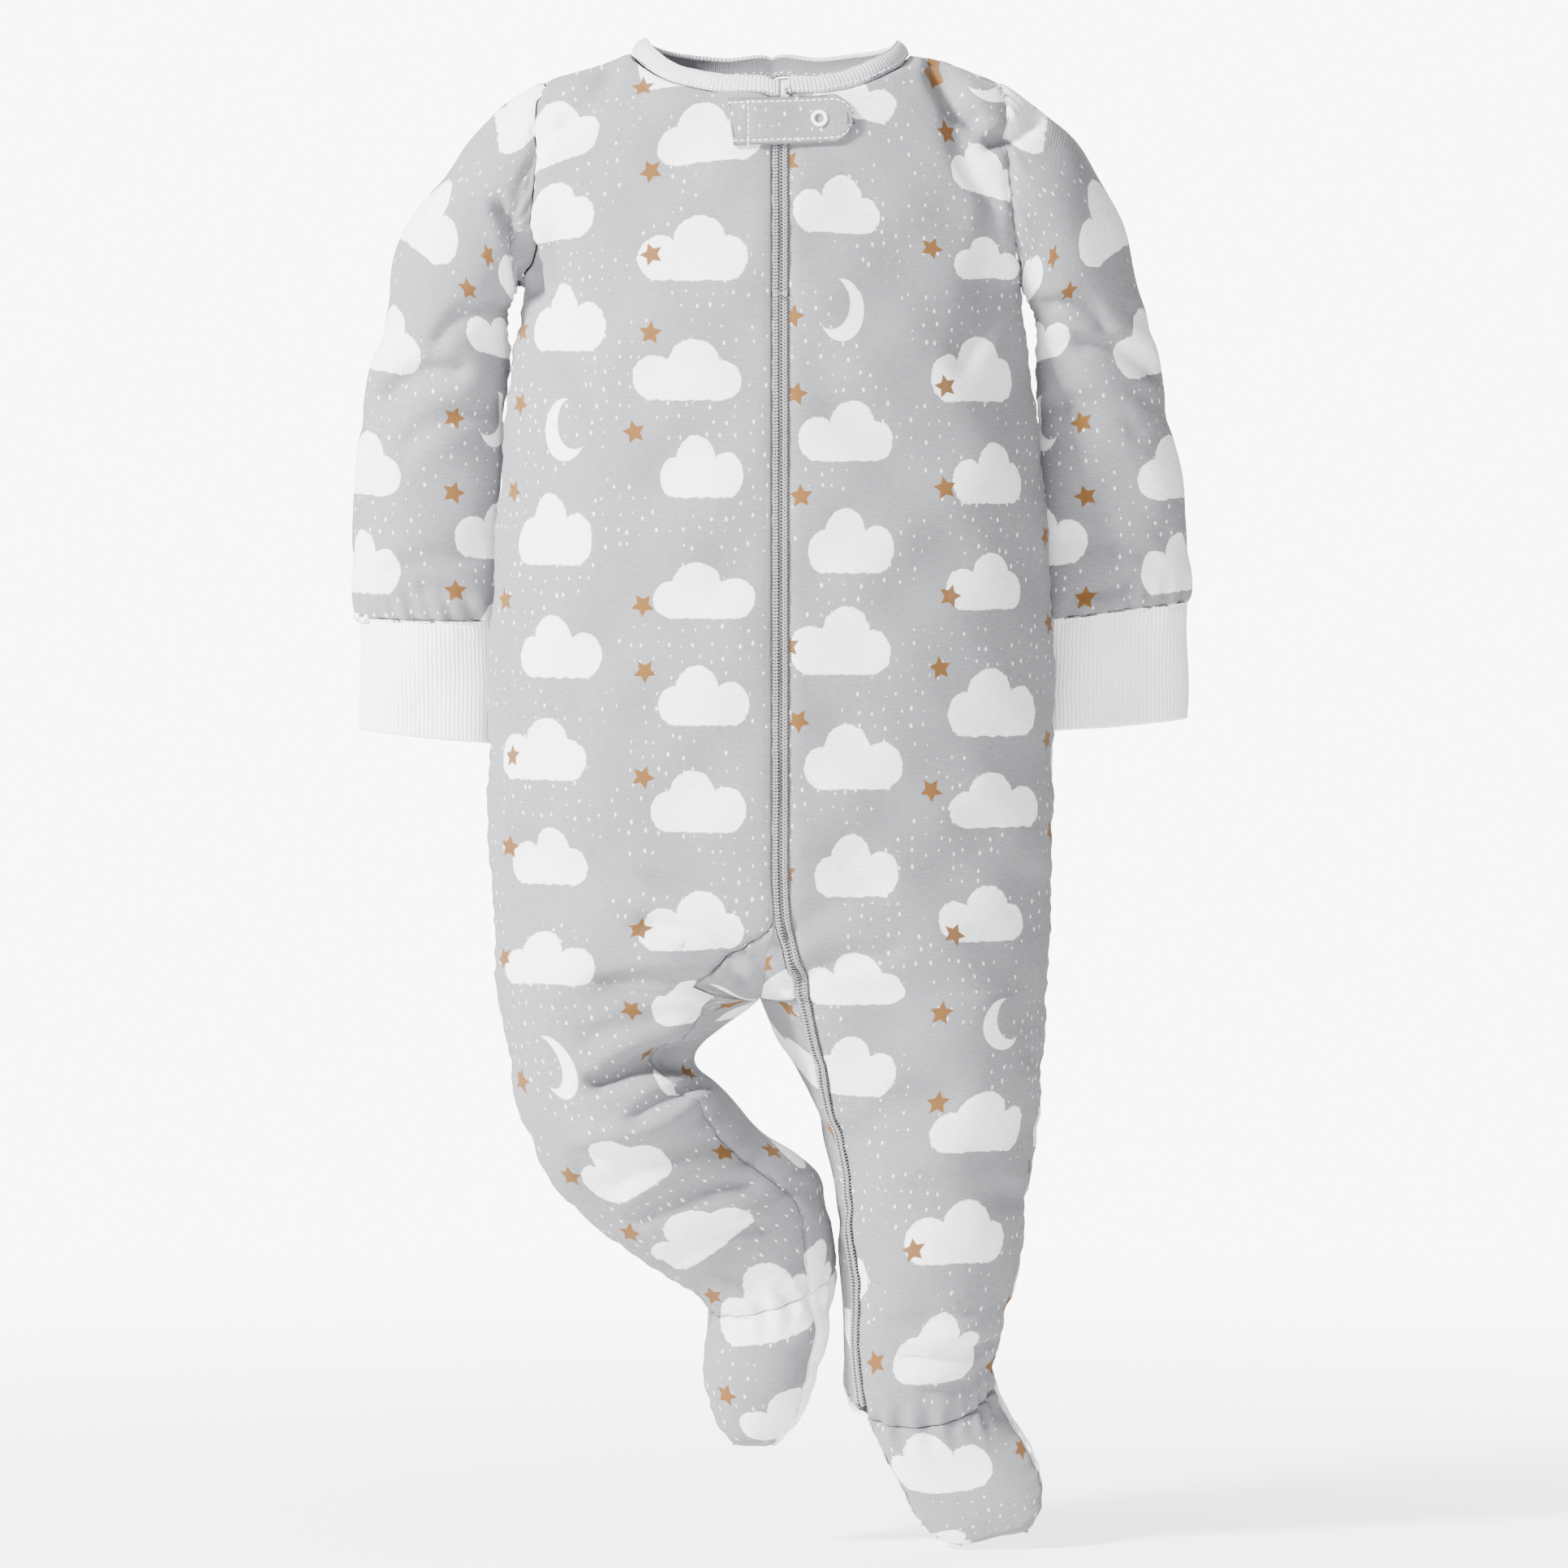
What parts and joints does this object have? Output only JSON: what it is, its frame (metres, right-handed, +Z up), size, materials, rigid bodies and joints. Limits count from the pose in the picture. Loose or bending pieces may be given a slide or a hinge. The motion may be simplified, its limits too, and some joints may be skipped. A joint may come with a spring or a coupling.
{
  "type": "footed baby sleepsuit",
  "caption": "Long-sleeved footed baby sleepsuit with a zip from neck to ankle, filled out with one knee bent and no wearer.",
  "frame": {"origin": "middle of the neck opening at the height of the shoulders, where the wearer's shoulders hold the garment", "axes": "+Z up the body, +X towards the wearer's left, -Y out of the front"},
  "size_m": [0.3262, 0.1133, 0.5796],
  "materials": {
    "printed_jersey": "heather grey cotton jersey printed with white clouds, moons and dots and small ochre stars",
    "white_rib": "fine white cotton rib knit",
    "white_jersey": "plain white cotton jersey",
    "neck_rib": "pale grey-white cotton rib knit",
    "zip_tape": "woven grey polyester tape",
    "zip_coil": "grey nylon coil",
    "snap": "white open-ring snap"
  },
  "bodies": {
    "root": {"front_right": "printed_jersey", "front_left": "printed_jersey", "back": "printed_jersey", "sleeve_right": "printed_jersey", "sleeve_left": "printed_jersey", "vamp_right": "printed_jersey", "vamp_left": "printed_jersey", "chin_guard": "printed_jersey", "cuff_right": "white_rib", "cuff_left": "white_rib", "sole_right": "white_jersey", "sole_left": "white_jersey", "neckband": "neck_rib", "zip_tape_right": "zip_tape", "zip_tape_left": "zip_tape", "zip_coil_right": "zip_coil", "zip_coil_left": "zip_coil", "zip_slider": "zip_coil", "snap_ring": "snap"}
  },
  "joints": []
}
